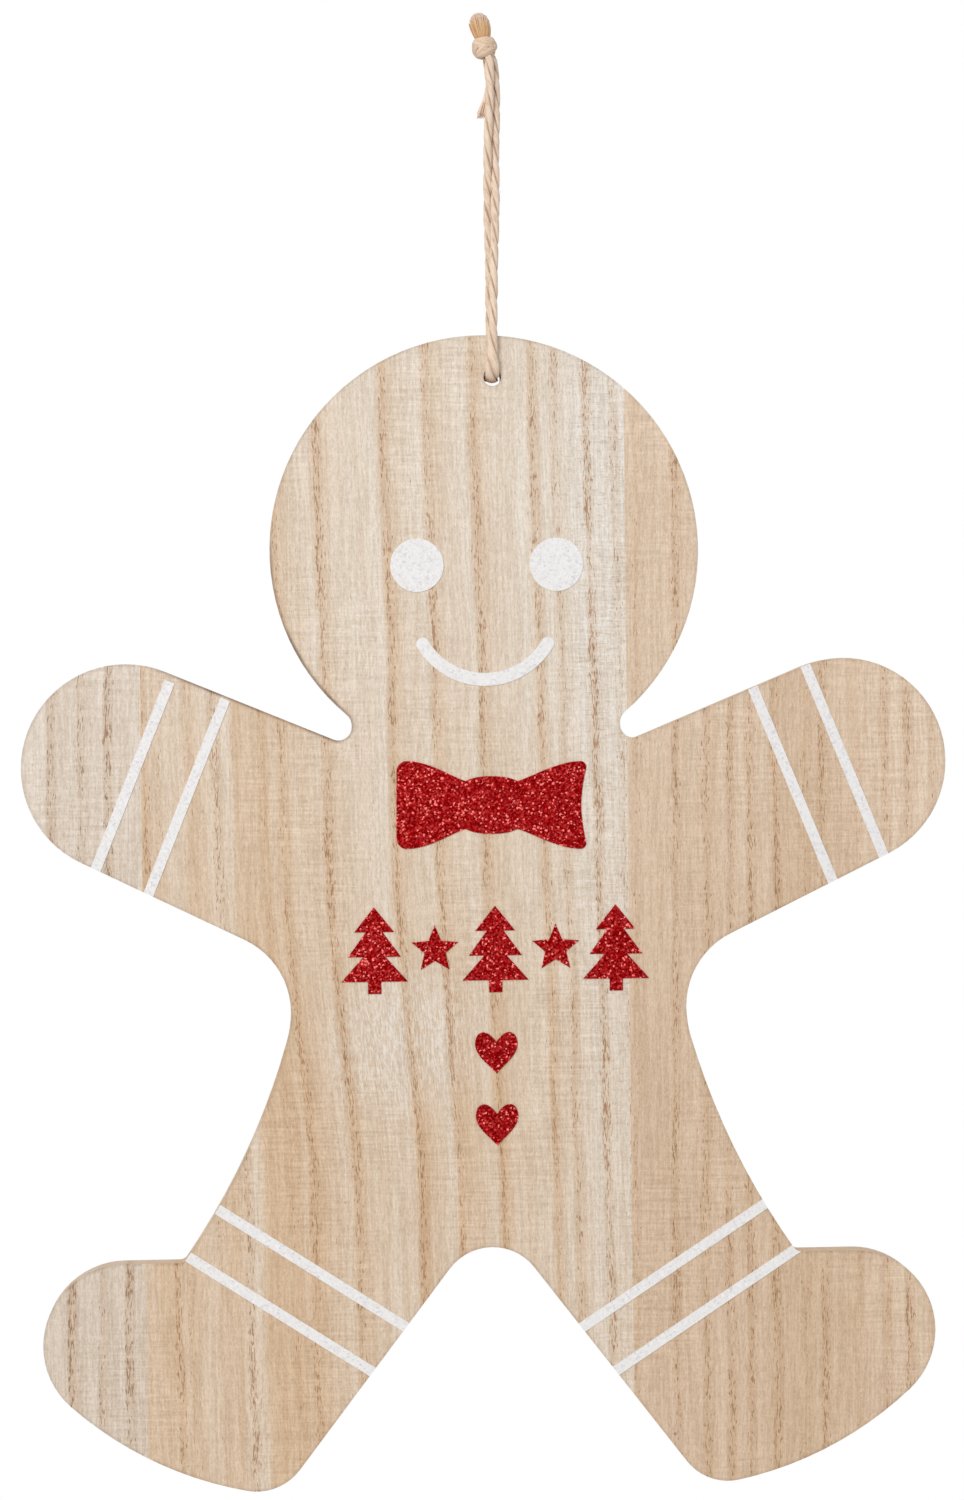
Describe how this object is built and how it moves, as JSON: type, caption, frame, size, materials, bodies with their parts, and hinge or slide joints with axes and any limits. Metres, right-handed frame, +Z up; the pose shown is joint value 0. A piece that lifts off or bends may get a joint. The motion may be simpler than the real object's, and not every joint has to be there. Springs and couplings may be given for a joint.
{
  "type": "hanging wooden gingerbread figure",
  "caption": "Flat gingerbread man sawn from edge-glued wood, decorated with white and red glitter and hung by a knotted loop of jute twine.",
  "frame": {"origin": "between the two strands of twine just under the knot, where a hook or nail holds the loop", "axes": "+Z up along the hanging twine, +X to the figure's right as seen from the front, front face towards -Y"},
  "size_m": [0.3214, 0.016, 0.5135],
  "materials": {
    "wood_middle": "sawn paulownia, pale, with open brown pores",
    "wood_left": "sawn paulownia, greyish, with open brown pores",
    "wood_right": "sawn paulownia, tan, with open brown pores",
    "white_glitter": "white glitter in clear binder",
    "red_glitter": "red glitter in clear binder",
    "jute": "two-ply jute twine, fuzzy"
  },
  "bodies": {
    "hanger": {"cord_left": "jute", "cord_right": "jute", "knot": "jute", "tuft": "jute", "tail": "jute"},
    "loop": {"cord_loop": "jute"},
    "figure": {"stave_middle": "wood_middle", "stave_left_hand": "wood_left", "stave_left_foot": "wood_left", "stave_right_cheek": "wood_right", "stave_right_side": "wood_right", "eye_left": "white_glitter", "eye_right": "white_glitter", "smile": "white_glitter", "stripe_left_hand": "white_glitter", "stripe_left_wrist": "white_glitter", "stripe_right_wrist": "white_glitter", "stripe_right_hand": "white_glitter", "stripe_left_shin": "white_glitter", "stripe_left_ankle": "white_glitter", "stripe_right_shin": "white_glitter", "stripe_right_ankle": "white_glitter", "bow_tie": "red_glitter", "tree_left": "red_glitter", "star_left": "red_glitter", "tree_middle": "red_glitter", "star_right": "red_glitter", "tree_right": "red_glitter", "heart_upper": "red_glitter", "heart_lower": "red_glitter"}
  },
  "joints": [
    {"name": "loop_twist", "type": "hinge", "parent": "hanger", "child": "loop", "pos_m": [0, 0, -0.03], "axis": [0, 0, 1], "range_deg": [-180, 180], "stiffness_Nm_per_rad": 0.0005},
    {"name": "figure_swing", "type": "hinge", "parent": "loop", "child": "figure", "pos_m": [0, 0, -0.109], "axis": [0, 1, 0], "range_deg": [-45, 45]}
  ]
}
